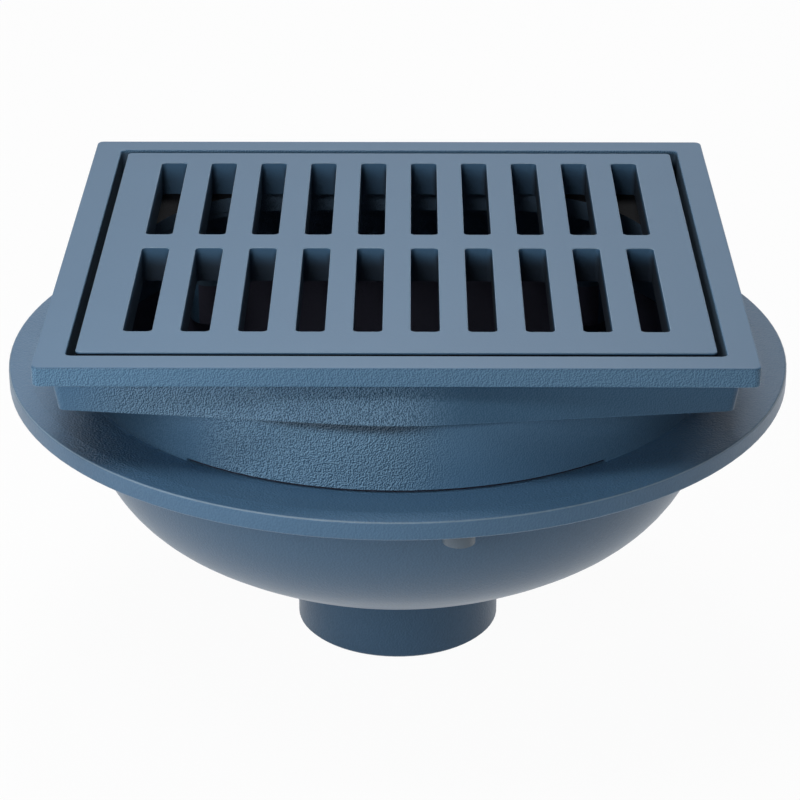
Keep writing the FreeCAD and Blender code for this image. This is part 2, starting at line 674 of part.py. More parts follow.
def slot_outline(sketch, left_x, centre_y, half_w, half_l):
    """A rounded slot whose centre lies left_x to the left of the axis and at centre_y."""
    x0, y0 = -left_x.value, centre_y.value
    w, l, r = half_w.value, half_l.value, SIZES["slot_corner"]
    south = line(sketch, (x0 - w + r, y0 - l), (x0 + w - r, y0 - l))
    east = line(sketch, (x0 + w, y0 - l + r), (x0 + w, y0 + l - r))
    north = line(sketch, (x0 + w - r, y0 + l), (x0 - w + r, y0 + l))
    west = line(sketch, (x0 - w, y0 + l - r), (x0 - w, y0 - l + r))
    corners = [
        arc(sketch, (x0 + w - r, y0 - l + r), r, 270, 360),
        arc(sketch, (x0 + w - r, y0 + l - r), r, 0, 90),
        arc(sketch, (x0 - w + r, y0 + l - r), r, 90, 180),
        arc(sketch, (x0 - w + r, y0 - l + r), r, 180, 270),
    ]
    sides = [south, east, north, west]
    for index, corner in enumerate(corners):
        join(sketch, "Tangent", sides[index], 2, corner, 1)
        join(sketch, "Tangent", corner, 2, sides[(index + 1) % 4], 1)
        bind(sketch, "Radius", corner, size("slot_corner"))
    for flat_side in (south, north):
        sketch.addConstraint(Sketcher.Constraint("Horizontal", flat_side))
    for upright_side in (east, west):
        sketch.addConstraint(Sketcher.Constraint("Vertical", upright_side))
    bind(sketch, "DistanceX", west, 1, -1, 1, left_x + half_w)
    bind(sketch, "DistanceX", west, 1, east, 1, half_w * 2)
    bind(sketch, "DistanceY", south, 1, north, 1, half_l * 2)
    bind(sketch, "DistanceY", -1, 1, south, 1, centre_y - half_l)


row_offset = size("slot_length") * 0.5 + size("row_bar") * 0.5
slot_row("FrontRow", size("row_shift") - row_offset)
back_row = slot_row("BackRow", size("row_shift") + row_offset)
top_edges = edges_where(back_row.Shape, lambda e: flat_at(e, z_grate.value))
dress(grate, "Fillet", "GrateEdges", back_row, top_edges, size("slot_edge_fillet"))

# Clamping bolts: head on the frame's lug, shank down into the body's lug.
bolts = []
head_z = z_seat + size("lug_height")
shank_length = size("lug_height") + size("bolt_grip")
for number in range(BOLT_COUNT):
    angle = BOLT_ANGLE + number * 360.0 / BOLT_COUNT
    head = doc.addObject("Part::Prism", "BoltHead%d" % number)
    head.Polygon = 6
    corner_reach = size("bolt_head") * (1.0 / math.sqrt(3.0))
    head.setExpression("Circumradius", corner_reach.text)
    head.setExpression("Height", size("bolt_head_height").text)
    head.setExpression("Placement.Base.z", head_z.text)
    shank = doc.addObject("Part::Cylinder", "BoltShank%d" % number)
    shank.setExpression("Radius", (size("bolt_size") * 0.5).text)
    shank.setExpression("Height", shank_length.text)
    shank.setExpression("Placement.Base.z", (head_z - shank_length).text)
    bolt = doc.addObject("Part::Fuse", "Bolt%d" % number)
    bolt.Base = head
    bolt.Tool = shank
    bolt.setExpression("Placement.Base.x", (lug_r * math.cos(math.radians(angle))).text)
    bolt.setExpression("Placement.Base.y", (lug_r * math.sin(math.radians(angle))).text)
    bolts.append(bolt)
bolt_group = doc.addObject("Part::Compound", "clamp_bolts")
bolt_group.Label = "clamp_bolts"
bolt_group.Links = bolts
doc.recompute()

# Check every object, then write one file for each sub-part.
for item in doc.Objects:
    if "Invalid" in item.State or "Error" in item.State:
        raise RuntimeError("%s did not build: %s" % (item.Name, item.State))
os.makedirs("parts", exist_ok=True)
for part in (body, frame, grate, bolt_group):
    shape = part.Shape
    if shape.isNull() or not shape.isValid():
        raise RuntimeError("%s has no valid shape" % part.Label)
    shape.exportStep(os.path.join("parts", part.Label + ".step"))
    print(part.Label, "solids", len(shape.Solids), "volume", round(shape.Volume), "box", shape.BoundBox)
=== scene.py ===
# %% [markdown]
# This lesson dresses a cast-iron area drain: a round sump with a bottom outlet, a dished flange, a collar
# that turns into a rectangular frame, and a loose slotted grate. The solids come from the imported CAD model,
# in metres, and they stay where they are. What is left for Blender is the finish, the light and the camera.

# %% Load the drain
import math

import bpy
import numpy as np
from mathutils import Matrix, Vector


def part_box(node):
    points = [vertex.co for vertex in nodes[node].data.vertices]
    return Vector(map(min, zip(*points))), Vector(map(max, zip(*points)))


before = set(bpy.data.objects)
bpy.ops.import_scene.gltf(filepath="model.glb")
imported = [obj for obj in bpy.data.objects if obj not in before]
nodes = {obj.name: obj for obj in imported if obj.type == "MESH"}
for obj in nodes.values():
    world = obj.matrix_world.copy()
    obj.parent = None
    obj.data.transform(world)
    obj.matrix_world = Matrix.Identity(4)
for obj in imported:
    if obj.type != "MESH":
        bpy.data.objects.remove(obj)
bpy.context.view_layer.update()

print("nodes:", ", ".join(sorted(nodes)))

# %% [markdown]
# The finishes follow the shape, so a few levels are read from the solids: where the frame ends, where the
# grate lies, and how wide the sump is. They could be typed in, but read from the model they stay right if the
# drain is made in another size.

# %% Levels read from the solids
frame_low, frame_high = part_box("top_frame")
grate_low, grate_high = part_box("grate")
body_low, body_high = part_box("drain_body")
print("body from %.4f to %.4f" % (body_low[2], body_high[2]))
print("frame from %.4f to %.4f" % (frame_low[2], frame_high[2]))
print("grate from %.4f to %.4f" % (grate_low[2], grate_high[2]))

# %% [markdown]
# Every finish is a net of nodes. Wiring each node by hand takes four lines, so small helpers do it. Each
# takes numbers or the outputs of other nodes alike, and gives back an output, so that one can be put into
# the other. The first ones do sums.


# %% Helpers for sums
def set_or_link(tree, slot, value):
    """Link the socket to another node's output, or set it where the value is a plain one."""
    if isinstance(value, bpy.types.NodeSocket):
        tree.links.new(value, slot)
    else:
        slot.default_value = value


def math_node(tree, operation, *values):
    """The result of one operation on numbers."""
    node = tree.nodes.new("ShaderNodeMath")
    node.operation = operation
    for slot, value in zip(node.inputs, values):
        set_or_link(tree, slot, value)
    return node.outputs[0]


def vector_node(tree, operation, output, *values):
    """One output, Vector or Value, of an operation on vectors."""
    node = tree.nodes.new("ShaderNodeVectorMath")
    node.operation = operation
    for slot, value in zip(node.inputs, values):
        set_or_link(tree, slot, value)
    return node.outputs[output]


def axes(tree, vector):
    """The x, y and z parts of a vector."""
    node = tree.nodes.new("ShaderNodeSeparateXYZ")
    tree.links.new(vector, node.inputs["Vector"])
    return node.outputs["X"], node.outputs["Y"], node.outputs["Z"]


def rest_of(tree, share):
    """What is left of 1."""
    return math_node(tree, "SUBTRACT", 1.0, share)


def product(tree, first, *others):
    """All the values multiplied."""
    for other in others:
        first = math_node(tree, "MULTIPLY", first, other)
    return first


def between(tree, share, at_none, at_full):
    """A value that goes from one number to another as share goes from 0 to 1."""
    return math_node(tree, "MULTIPLY_ADD", share, at_full - at_none, at_none)


print("helpers for sums are ready")

# %% [markdown]
# A finish changes from zone to zone. A step from 0 to 1 between two places marks a zone, a mix of two colours
# paints it, and a noise keeps it from looking even. The steps are smooth, because a hard one would show as a
# jagged line.


# %% Helpers for steps and colours
def band(tree, value, start, end, course="SMOOTHSTEP"):
    """A value that goes from 0 at start to 1 at end, smoothly or in a straight line."""
    step = tree.nodes.new("ShaderNodeMapRange")
    step.interpolation_type = course
    step.inputs["From Min"].default_value = min(start, end)
    step.inputs["From Max"].default_value = max(start, end)
    step.inputs["To Min"].default_value = 0.0 if start < end else 1.0
    step.inputs["To Max"].default_value = 1.0 if start < end else 0.0
    tree.links.new(value, step.inputs["Value"])
    return step.outputs["Result"]


def below(tree, height, level, depths):
    """A band from 0 at the first depth below a level to 1 at the second depth below it."""
    return band(tree, height, level - depths[0], level - depths[1])


def mix_colors(tree, share, first, second):
    """The first colour where share is 0 and the second where it is 1."""
    blend = tree.nodes.new("ShaderNodeMix")
    blend.data_type = "RGBA"
    for label, value in (("Factor", share), ("A", first), ("B", second)):
        set_or_link(tree, blend.inputs[label], value)
    return blend.outputs["Result"]


def noise(tree, vector, rate, detail, roughness=0.5):
    """A cloudy value round 0.5, with about rate clouds to a metre."""
    node = tree.nodes.new("ShaderNodeTexNoise")
    for label, value in (("Vector", vector), ("Scale", rate), ("Detail", detail), ("Roughness", roughness)):
        set_or_link(tree, node.inputs[label], value)
    return node.outputs["Fac"]


print("helpers for steps and colours are ready")

# %% [markdown]
# A node group is a small machine with named inputs and outputs. Three of them are shared by the finishes
# below. Building each once, and giving it other values in each material, keeps one effect the same all over
# the drain.


# %% Helpers for groups
def start_group(name, inputs, outputs):
    """An empty group with these sockets, as (name, kind) or (name, kind, default), and its two end nodes."""
    group = bpy.data.node_groups.new(name, "ShaderNodeTree")
    for label, kind, *default in inputs:
        socket = group.interface.new_socket(label, in_out="INPUT", socket_type=kind)
        if default:
            socket.default_value = default[0]
    for label, kind in outputs:
        group.interface.new_socket(label, in_out="OUTPUT", socket_type=kind)
    return group, group.nodes.new("NodeGroupInput").outputs, group.nodes.new("NodeGroupOutput").inputs


def place(tree, group, **values):
    """Put a group into a material; underscores in the names of its inputs stand for spaces."""
    node = tree.nodes.new("ShaderNodeGroup")
    node.node_tree = group
    for label, value in values.items():
        set_or_link(tree, node.inputs[label.replace("_", " ")], value)
    return node.outputs


print("helpers for groups are ready")

# %% [markdown]
# Sand-cast iron keeps the grain of its mould, and the paint rounds it off to the skin of an orange. Real
# geometry would need millions of faces, so the grain is a height for a Bump node. Two noises are added:
# grains of about a millimetre, and a slower swell under them that keeps the grains from looking even. A
# second output, Relief, marks the flank of each grain that faces up and to the left, toward the lamps: the
# noise minus the same noise a third of a millimetre further that way. The finishes below paint light and
# shade on the flanks by it.

# %% Group: cast grain
GRAIN_DETAIL = 1.5
GRAIN_ROUGHNESS = 0.45
# The shift points up and to the left, toward the lamps, so Relief marks the flanks that they light.
SHIFT_TOWARD_LAMPS = (-0.0003, 0.0, 0.00022)
SWELL_DETAIL = 1.0
SWELL_SIZE = 3.0
FINE_SHARE = 0.65
SWELL_SHARE = 0.35
RELIEF_GAIN = 4.5
RELIEF_MIDDLE = 0.5


def make_cast_grain():
    """Height = 0.65 fine noise + 0.35 coarse noise; Relief = 0.5 + 4.5 (fine noise - its shifted copy)."""
    group, given, result = start_group(
        "cast grain",
        [("Vector", "NodeSocketVector"), ("Grains per metre", "NodeSocketFloat", 800.0)],
        [("Height", "NodeSocketFloat"), ("Relief", "NodeSocketFloat")],
    )
    spot = given["Vector"]
    rate = given["Grains per metre"]
    beside = vector_node(group, "ADD", "Vector", spot, SHIFT_TOWARD_LAMPS)
    fine = noise(group, spot, rate, GRAIN_DETAIL, GRAIN_ROUGHNESS)
    shifted = noise(group, beside, rate, GRAIN_DETAIL, GRAIN_ROUGHNESS)
    swell = noise(group, spot, math_node(group, "DIVIDE", rate, SWELL_SIZE), SWELL_DETAIL)
    fine_part = product(group, fine, FINE_SHARE)
    swell_part = product(group, swell, SWELL_SHARE)
    group.links.new(math_node(group, "ADD", fine_part, swell_part), result["Height"])
    rise = math_node(group, "SUBTRACT", fine, shifted)
    relief = math_node(group, "MULTIPLY_ADD", rise, RELIEF_GAIN, RELIEF_MIDDLE)
    relief = math_node(group, "MINIMUM", math_node(group, "MAXIMUM", relief, 0.0), 1.0)
    group.links.new(relief, result["Relief"])
    return group


cast_grain = make_cast_grain()
print("made group", cast_grain.name)

# %% [markdown]
# Brushed or sprayed paint is never one flat colour. It is a little thinner on one patch and a little chalkier
# on the next. A picture of worn paint could show that, but it would need a file and a way to wrap it round
# the castings. The group drifts between two near shades with a slow noise instead, and puts out the noise
# too, so that the gloss can drift with the colour.

# %% Group: paint drift
PATCH_DETAIL = 3.0
PATCH_SHARE = 0.7
SPECK_DETAIL = 1.0
SPECK_RATE = 70.0
SPECK_SHARE = 0.3
DRIFT_RANGE = (0.3, 0.7)


def make_paint_drift():
    """Drift = 0.7 slow noise + 0.3 fine noise, spread to 0..1; Color = mix of deep and chalky by Drift."""
    group, given, result = start_group(
        "paint drift",
        [
            ("Vector", "NodeSocketVector"),
            ("Deep", "NodeSocketColor", (0.08, 0.17, 0.28, 1.0)),
            ("Chalky", "NodeSocketColor", (0.10, 0.19, 0.30, 1.0)),
            ("Patches per metre", "NodeSocketFloat", 16.0),
        ],
        [("Color", "NodeSocketColor"), ("Drift", "NodeSocketFloat")],
    )
    rate = given["Patches per metre"]
    patches = noise(group, given["Vector"], rate, PATCH_DETAIL)
    specks = noise(group, given["Vector"], product(group, rate, SPECK_RATE), SPECK_DETAIL)
    slow = product(group, patches, PATCH_SHARE)
    quick = product(group, specks, SPECK_SHARE)
    drift = band(group, math_node(group, "ADD", slow, quick), *DRIFT_RANGE, course="LINEAR")
    group.links.new(mix_colors(group, drift, given["Deep"], given["Chalky"]), result["Color"])
    group.links.new(drift, result["Drift"])
    return group


paint_drift = make_paint_drift()
print("made group", paint_drift.name)

# %% [markdown]
# Tops and sides of a casting differ: what looks up is ground and painted smooth, what stands upright keeps
# the grain. Faces could be picked one by one, but the rounded edges between them would get a hard border.
# The surface's own normal tells them apart softly, in the object's space, so the split stays with the drain
# in every view.

# %% Group: upward part
UPWARD_RANGE = (0.5, 0.9)


def make_upward():
    """Up = a smooth step of the normal's z: 0 up to 0.5, and 1 from 0.9."""
    group, given, result = start_group(
        "upward part", [("Normal", "NodeSocketVector")], [("Up", "NodeSocketFloat")]
    )
    _, _, rise = axes(group, given["Normal"])
    group.links.new(band(group, rise, *UPWARD_RANGE), result["Up"])
    return group


upward = make_upward()
print("made group", upward.name)

# %% [markdown]
# The paint itself is a satin steel blue, and most of the drain carries the drift between two shades of it.
# Its shine is one number on the shader, because the export drops a shine that changes over the surface. A
# clear coat of changing weight is laid over it later, and makes ground tops glossier than rough sides.

# %% The blue paint
DEEP_BLUE = (0.071, 0.164, 0.284, 1.0)
CHALKY_BLUE = (0.083, 0.181, 0.304, 1.0)
PATCHES = 16.0
COAT_ROUGHNESS = 0.44


def start_paint(name, shine):
    """A new material in the drifting blue, with the sockets that the finish of a casting starts from."""
    material = bpy.data.materials.new(name)
    material.use_nodes = True
    tree = material.node_tree
    shader = tree.nodes["Principled BSDF"]
    shader.inputs["Specular IOR Level"].default_value = shine
    shader.inputs["Coat Roughness"].default_value = COAT_ROUGHNESS
    where = tree.nodes.new("ShaderNodeTexCoord").outputs
    spot = where["Object"]
    normal = where["Normal"]
    up = place(tree, upward, Normal=normal)["Up"]
    coat = place(
        tree, paint_drift, Vector=spot, Deep=DEEP_BLUE, Chalky=CHALKY_BLUE, Patches_per_metre=PATCHES
    )
    print("mixed", name)
    return dict(
        material=material,
        tree=tree,
        shader=shader,
        spot=spot,
        normal=normal,
        up=up,
        color=coat["Color"],
        drift=coat["Drift"],
    )


print("blue paint is ready, %g patches to a metre" % PATCHES)

# %% [markdown]
# Grain goes on twice. The bump turns the light on every grain, and on top of it painted shade darkens the
# flanks that face away from the lamps, while painted light and a painted glint make the flanks that face them
# paler and chalkier, because a bump alone looks too smooth under soft light. The gloss wanders with the
# drift, and both grain and gloss differ between tops and sides.

# %% Grain and gloss
# Painted shade, painted light and a painted glint for the flanks of the grain.
FLANK_PAINTED_SHADE = (0.4, 0.4, 0.4)
FLANK_PAINTED_LIGHT = (1.75, 1.7, 1.55)
FLANK_PAINTED_GLINT = (0.060, 0.044, 0.03)
GLOSS_DRIFT = 0.06


def lay_grain(paint, top, side, up, on_side):
    """Bump = fine grain by up + coarse grain by on_side; gives back the coarse grain's relief."""
    tree = paint["tree"]
    fine = place(tree, cast_grain, Vector=paint["spot"], Grains_per_metre=top["grains"])
    rough = place(tree, cast_grain, Vector=paint["spot"], Grains_per_metre=side["grains"])
    side_height = product(tree, rough["Height"], side["depth"], on_side)
    top_height = product(tree, fine["Height"], top["depth"])
    bump = tree.nodes.new("ShaderNodeBump")
    bump.inputs["Distance"].default_value = 1.0
    tree.links.new(math_node(tree, "MULTIPLY_ADD", top_height, up, side_height), bump.inputs["Height"])
    tree.links.new(bump.outputs["Normal"], paint["shader"].inputs["Normal"])
    return rough["Relief"]


def paint_flank_light_and_shade(paint, relief, share):
    """By share, painted shade darkens the colour where relief is 0, and painted light makes it paler and
    chalkier at 1.
    """
    tree = paint["tree"]
    dark = vector_node(tree, "MULTIPLY", "Vector", paint["color"], FLANK_PAINTED_SHADE)
    pale = vector_node(tree, "MULTIPLY_ADD", "Vector", paint["color"], FLANK_PAINTED_LIGHT, FLANK_PAINTED_GLINT)
    flanks = mix_colors(tree, relief, dark, pale)
    paint["color"] = mix_colors(tree, share, paint["color"], flanks)


def lay_gloss(paint, top, side, up):
    """Roughness and clear coat of the sides where up is 0, and of the tops where it is 1."""
    tree = paint["tree"]
    gloss = between(tree, up, side["roughness"], top["roughness"])
    paint["roughness"] = math_node(tree, "MULTIPLY_ADD", paint["drift"], GLOSS_DRIFT, gloss)
    paint["clear"] = between(tree, up, side["coat"], top["coat"])


print("grain and gloss are ready")

# %% [markdown]
# The insides of the castings were only dipped in a dull coat. Where only shade falls, in the gap round the
# grate and on the ledge under it, near black is painted instead, as painted shade. A mask that is 1 inside
# swaps the colour, roughens the surface and takes the clear coat off. One material with a mask is simpler
# than cutting the solid into an outer and an inner part.

# %% Dip and dress
DIP_ROUGHNESS = 0.8


def dip_and_shade_inside(paint, inside, inside_color):
    """Wire the paint to its shader, with the inside colour, rougher and without clear coat, where inside is
    1.
    """
    tree = paint["tree"]
    sockets = paint["shader"].inputs
    dull = product(tree, inside, DIP_ROUGHNESS)
    tree.links.new(mix_colors(tree, inside, paint["color"], inside_color), sockets["Base Color"])
    tree.links.new(math_node(tree, "MAXIMUM", paint["roughness"], dull), sockets["Roughness"])
    tree.links.new(product(tree, paint["clear"], rest_of(tree, inside)), sockets["Coat Weight"])


def dress(node_name, material):
    """Give a CAD node this material in every slot."""
    mesh = nodes[node_name].data
    mesh.materials.clear()
    mesh.materials.append(material)
    print("dressed", node_name, "in", material.name)


print("dip and dress are ready")

# %% [markdown]
# The grate is the part that people walk on. Its top is ground flat and feels like fine sandpaper under the
# paint, and the walls of its slots are smooth. The slots' rounded edges are in the solid, so they catch the
# light by themselves, and a pale painted highlight on them adds more. Blender's Pointiness finds edges too,
# but it depends on how finely a mesh is divided, so the painted highlight follows the normal as it turns from
# up to sideways.

# %% The grate's paint
GROUND_TOP = dict(grains=1500.0, depth=0.00008, roughness=0.46, coat=0.54)
SLOT_WALLS = dict(grains=900.0, depth=0.00016, roughness=0.42, coat=0.3)
CAST_SHINE = 0.12
# The pale blue of the painted highlight on the grate's edges.
EDGE_HIGHLIGHT_BLUE = (0.320, 0.420, 0.520, 1.0)

grate_paint = start_paint("grate paint", CAST_SHINE)
grate_tree = grate_paint["tree"]
grate_up = grate_paint["up"]
grate_side = rest_of(grate_tree, grate_up)
lay_grain(grate_paint, GROUND_TOP, SLOT_WALLS, grate_up, grate_side)
lay_gloss(grate_paint, GROUND_TOP, SLOT_WALLS, grate_up)


def round_overs(tree, up):
    """4 u (1 - u), where u is the upward part: 1 in the middle of a round-over, 0 on tops and walls."""
    return product(tree, up, rest_of(tree, up), 4.0)


# A pale painted highlight where the normal turns from up to sideways.
edge_highlight = round_overs(grate_tree, grate_up)
grate_paint["color"] = mix_colors(grate_tree, edge_highlight, grate_paint["color"], EDGE_HIGHLIGHT_BLUE)
print("painted highlight on the grate's edges")

# %% [markdown]
# The walls of the slots are darker toward their foot with painted shade, most of all the end walls of the
# front row, and more on side walls that look left than on those that look right. The gap round the grate is
# painted black, as painted shade. Masks in Object coordinates keep each zone in its place, and cost no faces.

# %% The grate's slots and gap
# The dark of the painted shade on the slot walls.
SLOT_SHADE_COLOR = (0.026, 0.028, 0.034, 1.0)
# Near black as painted shade, in the gap round the grate and on the ledge under it.
SHADE_BLACK = (0.003, 0.0035, 0.005, 1.0)
END_WALL_DEPTHS = (0.0005, 0.012)
SIDE_WALL_DEPTHS = (0.0005, 0.006)
GAP_DEPTHS = (0.0006, 0.0014)
GAP_WIDTHS = (0.002, 0.0005)
ROWS = (-0.02, 0.02)
LOOKS_LEFT = (0.2, -0.2)
FRONT_ROW_SHADE = 1.0
BACK_ROW_SHADE = 0.42
SHADE_LOOKING_RIGHT = 0.66
SHADE_LOOKING_LEFT = 0.88


def slot_painted_shade(tree, spot, normal):
    """Painted shade times its depth step: the end walls' where the normal looks along y, the side walls'
    along x.
    """
    _, along, height = axes(tree, spot)
    facing, _, _ = axes(tree, normal)
    sideways = math_node(tree, "ABSOLUTE", facing)
    end_shade = between(tree, band(tree, along, *ROWS), FRONT_ROW_SHADE, BACK_ROW_SHADE)
    side_shade = between(tree, band(tree, facing, *LOOKS_LEFT), SHADE_LOOKING_RIGHT, SHADE_LOOKING_LEFT)
    end_deep = below(tree, height, grate_high[2], END_WALL_DEPTHS)
    side_deep = below(tree, height, grate_high[2], SIDE_WALL_DEPTHS)
    side_part = product(tree, side_shade, sideways, side_deep)
    end_part = product(tree, end_shade, rest_of(tree, sideways))
    return math_node(tree, "MULTIPLY_ADD", end_deep, end_part, side_part)


def grate_gap(tree, spot):
    """1 on the plate's outer walls, from just below the top."""
    across, along, height = axes(tree, spot)
    outer_x = below(tree, math_node(tree, "ABSOLUTE", across), grate_high[0], GAP_WIDTHS)
    outer_y = below(tree, math_node(tree, "ABSOLUTE", along), grate_high[1], GAP_WIDTHS)
    outer = math_node(tree, "MAXIMUM", outer_x, outer_y)
    return product(tree, outer, below(tree, height, grate_high[2], GAP_DEPTHS))


slot_shade = slot_painted_shade(grate_tree, grate_paint["spot"], grate_paint["normal"])
# Painted shade on the slot walls.
grate_paint["color"] = mix_colors(grate_tree, slot_shade, grate_paint["color"], SLOT_SHADE_COLOR)
# The grate's outer walls in the gap get near black as painted shade.
dip_and_shade_inside(grate_paint, grate_gap(grate_tree, grate_paint["spot"]), SHADE_BLACK)
dress("grate", grate_paint["material"])

# %% [markdown]
# The frame is a rim, a skirt below it and a round collar below that. Two levels divide them, and both are
# soft by less than a millimetre, so that no jagged line shows. They are the CAD model's levels, because a
# box of the whole frame can't tell where its skirt starts.

# %% The frame's levels
SKIRT_TOP = 0.2109
SKIRT_FOOT = 0.1936
BORDER = 0.0004

frame_paint = start_paint("frame paint", CAST_SHINE)
frame_tree = frame_paint["tree"]
frame_x, frame_y, frame_z = axes(frame_tree, frame_paint["spot"])
on_rim = band(frame_tree, frame_z, SKIRT_TOP - BORDER, SKIRT_TOP + BORDER)
below_rim = rest_of(frame_tree, on_rim)
on_collar = band(frame_tree, frame_z, SKIRT_FOOT + BORDER, SKIRT_FOOT - BORDER)
off_collar = rest_of(frame_tree, on_collar)
print("rim from %.4f, skirt from %.4f, collar below it" % (SKIRT_TOP, SKIRT_FOOT))

# %% [markdown]
# The frame's blue carries painted light and shade. Painted shade deepens it on the right of the skirt, at
# both ends of the collar and just under the skirt, and painted light makes it paler on the rim's face and the
# middle of the collar. A painted shadow, deepest of all, lies in the crease under the skirt and far left on
# the collar.
# Colours stored on the mesh could say so too, but the CAD mesh stays as it is, so masks from the place on the
# frame do it.

# %% The frame's painted light and shade
# The first blue is painted shade on the frame and the deeper blue of the sump's bowl, the second painted
# light, the third a painted shadow.
BOWL_AND_SHADE_BLUE = (0.050, 0.117, 0.203, 1.0)
PAINTED_LIGHT_BLUE = (0.100, 0.218, 0.362, 1.0)
PAINTED_SHADOW_BLUE = (0.028, 0.070, 0.124, 1.0)
SKIRT_RIGHT = (0.000, 0.040)
COLLAR_LEFT = (-0.060, -0.135)
COLLAR_FAR_LEFT = (-0.110, -0.150)
COLLAR_RIGHT = (0.100, 0.160)
CREASE_LEFT = (-0.100, -0.060)
CREASE_RIGHT = (0.030, -0.005)
CREASE_DEPTHS = (0.0070, 0.0025)
UNDER_SKIRT_DEPTHS = (0.0045, 0.0015)
FACE_DEPTHS = (0.0004, 0.0012)


def frame_painted_light_and_shade(tree, color):
    """The coat's colour, mixed to painted shade, then to painted light, then to a painted shadow by their
    masks.
    """
    left_end = band(tree, frame_x, *COLLAR_LEFT)
    right_end = band(tree, frame_x, *COLLAR_RIGHT)
    at_ends = product(tree, on_collar, math_node(tree, "MAXIMUM", left_end, right_end))
    under_skirt = product(tree, below(tree, frame_z, SKIRT_FOOT, UNDER_SKIRT_DEPTHS), on_collar)
    right_skirt = product(tree, band(tree, frame_x, *SKIRT_RIGHT), below_rim)
    shade_share = math_node(tree, "MAXIMUM", math_node(tree, "MAXIMUM", right_skirt, at_ends), under_skirt)
    mid_collar = math_node(tree, "SUBTRACT", on_collar, at_ends)
    mid_collar = product(tree, mid_collar, rest_of(tree, under_skirt))
    face = product(tree, on_rim, below(tree, frame_z, frame_high[2], FACE_DEPTHS))
    light_share = math_node(tree, "MAXIMUM", mid_collar, face)
    coat = mix_colors(tree, light_share, mix_colors(tree, shade_share, color, BOWL_AND_SHADE_BLUE), PAINTED_LIGHT_BLUE)
    shadow_share = product(tree, below(tree, frame_z, SKIRT_FOOT, CREASE_DEPTHS), on_collar)
    shadow_share = product(tree, shadow_share, band(tree, frame_x, *CREASE_LEFT), band(tree, frame_x, *CREASE_RIGHT))
    far_left = product(tree, band(tree, frame_x, *COLLAR_FAR_LEFT), on_collar)
    return mix_colors(tree, math_node(tree, "MAXIMUM", shadow_share, far_left), coat, PAINTED_SHADOW_BLUE)


# The frame's colour now carries painted shade, painted light and a painted shadow.
frame_paint["color"] = frame_painted_light_and_shade(frame_tree, frame_paint["color"])
print("painted shade, light and shadow on the frame")

# %% [markdown]
# The frame's top is ground like the grate's, and its upright faces have orange-peel grain, coarsest on the
# left half of the skirt and the collar. The skirt bulges and leans up in the middle, but it is as rough as
# any side, so only the rim counts as a top. A grain for each zone would leave seams between them, so one
# grain lies everywhere, and a mask sets its strength. The same mask sets how much painted light and shade the
# flanks of the grain get, so those are strongest on the left half too, where the close lamp grazes.

# %% The frame's grain
ROUGH_SIDES = dict(grains=1300.0, depth=0.0008, roughness=0.34, coat=0.0)
# Share of painted light and shade on the flanks of the frame's grain.
FRAME_PAINTED_FLANKS = 0.85
RIM_GRAIN = 0.5
QUIET_GRAIN = 0.2
RIM_FADE = (0.0115, 0.0095)
COARSE_ON_COLLAR = (-0.105, -0.078)
COARSE_ON_SKIRT = (-0.165, -0.125)
COARSE_END = (0.035, -0.005)


def frame_grain_and_flank_light(tree):
    """Half on the rim, 1 on the left half of skirt and collar short of its end, and a fifth elsewhere."""
    collar_part = product(tree, on_collar, band(tree, frame_x, *COARSE_ON_COLLAR))
    skirt_part = product(tree, off_collar, band(tree, frame_x, *COARSE_ON_SKIRT))
    left = math_node(tree, "ADD", collar_part, skirt_part)
    left = product(tree, left, band(tree, frame_x, *COARSE_END))
    lower = between(tree, left, QUIET_GRAIN, 1.0)
    rim = below(tree, frame_z, frame_high[2], RIM_FADE)
    return math_node(tree, "MULTIPLY_ADD", rim, math_node(tree, "SUBTRACT", RIM_GRAIN, lower), lower)


frame_up = product(frame_tree, frame_paint["up"], on_rim)
frame_side = product(frame_tree, rest_of(frame_tree, frame_up), frame_grain_and_flank_light(frame_tree))
frame_relief = lay_grain(frame_paint, GROUND_TOP, ROUGH_SIDES, frame_up, frame_side)
# Painted light and shade on the flanks of the frame's grain.
paint_flank_light_and_shade(frame_paint, frame_relief, product(frame_tree, frame_side, FRAME_PAINTED_FLANKS))
lay_gloss(frame_paint, GROUND_TOP, ROUGH_SIDES, frame_up)
print("orange peel on the frame, %g grains to a metre" % ROUGH_SIDES["grains"])

# %% [markdown]
# Inside, the frame was dipped in a dull grey blue, and the ledge under the grate is painted black as painted
# shade. The inside is two simple solids, a box for the recess and the throat, and a round space for the
# collar, so two masks find it, one from x, y and z and one from the distance to the drain's axis.

# %% The frame's inside
FRAME_DIP = (0.090, 0.145, 0.212, 1.0)
LEDGE_THICK = 0.0109
COLLAR_WALL = 0.008
GAP_WIDE = 0.0054
SOFT_STEP = 0.001
DIP_DEPTHS = (0.0008, 0.0025)
LEVEL_PART = (1.0, 1.0, 0.0)
ledge_under = grate_low[2] - LEDGE_THICK
collar_radius = frame_high[1]


def from_axis(tree, spot):
    """The distance of a point from the upright axis, and the unit vector away from that axis."""
    level = vector_node(tree, "MULTIPLY", "Vector", spot, LEVEL_PART)
    return vector_node(tree, "LENGTH", "Value", level), vector_node(tree, "NORMALIZE", "Vector", level)


